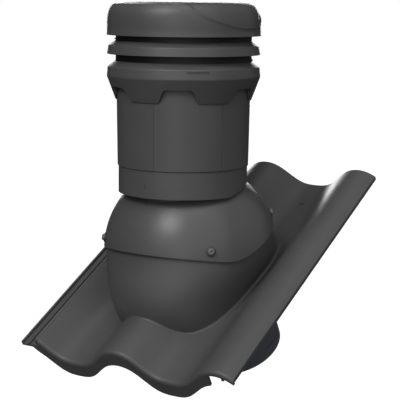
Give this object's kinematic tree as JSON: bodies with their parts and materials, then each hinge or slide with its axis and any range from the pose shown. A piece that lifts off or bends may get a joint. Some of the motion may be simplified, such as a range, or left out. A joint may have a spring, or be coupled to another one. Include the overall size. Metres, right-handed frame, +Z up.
{
  "type": "roof tile vent",
  "caption": "Insulated vent pipe with a louvred rain cap on a domed cover, carried by a moulded wave roof tile with a round duct spigot beneath it.",
  "frame": {"origin": "middle of the duct spigot's open mouth, under the tile", "axes": "+Z straight up, along the upright vent pipe; +Y level, up the roof slope; +X level, across the slope, to the right when facing up the roof"},
  "size_m": [0.3324, 0.3865, 0.5216],
  "materials": {
    "tile_plastic": "anthracite grey moulded polypropylene, satin with a fine grain",
    "cover_plastic": "anthracite grey moulded polypropylene, satin",
    "tube_plastic": "anthracite grey moulded tube, satin",
    "cowl_plastic": "anthracite grey moulded polypropylene, satin",
    "core_plastic": "near-black moulded polypropylene",
    "duct_plastic": "blue-black moulded polypropylene",
    "pipe_plastic": "grey extruded pipe",
    "insulation_foam": "rigid foam, cream",
    "seal_foam": "black closed-cell foam strip",
    "seal_rubber": "black rubber",
    "washer_rubber": "black sealing washer",
    "screw_steel": "dark grey coated steel"
  },
  "bodies": {
    "root": {"tile_plate": "tile_plastic", "dome_cover": "cover_plastic", "dome_seal": "seal_foam", "dome_screws": "screw_steel", "dome_washers": "washer_rubber", "duct_spigot": "duct_plastic", "duct_seal": "seal_rubber", "inner_pipe": "pipe_plastic", "pipe_seal": "seal_rubber", "neck_collar": "tube_plastic", "vent_tube": "tube_plastic", "foam_sleeve": "insulation_foam", "louvre_core": "core_plastic", "cowl_skirt": "cowl_plastic", "louvre_ring": "cowl_plastic", "cap": "cowl_plastic"}
  },
  "joints": []
}
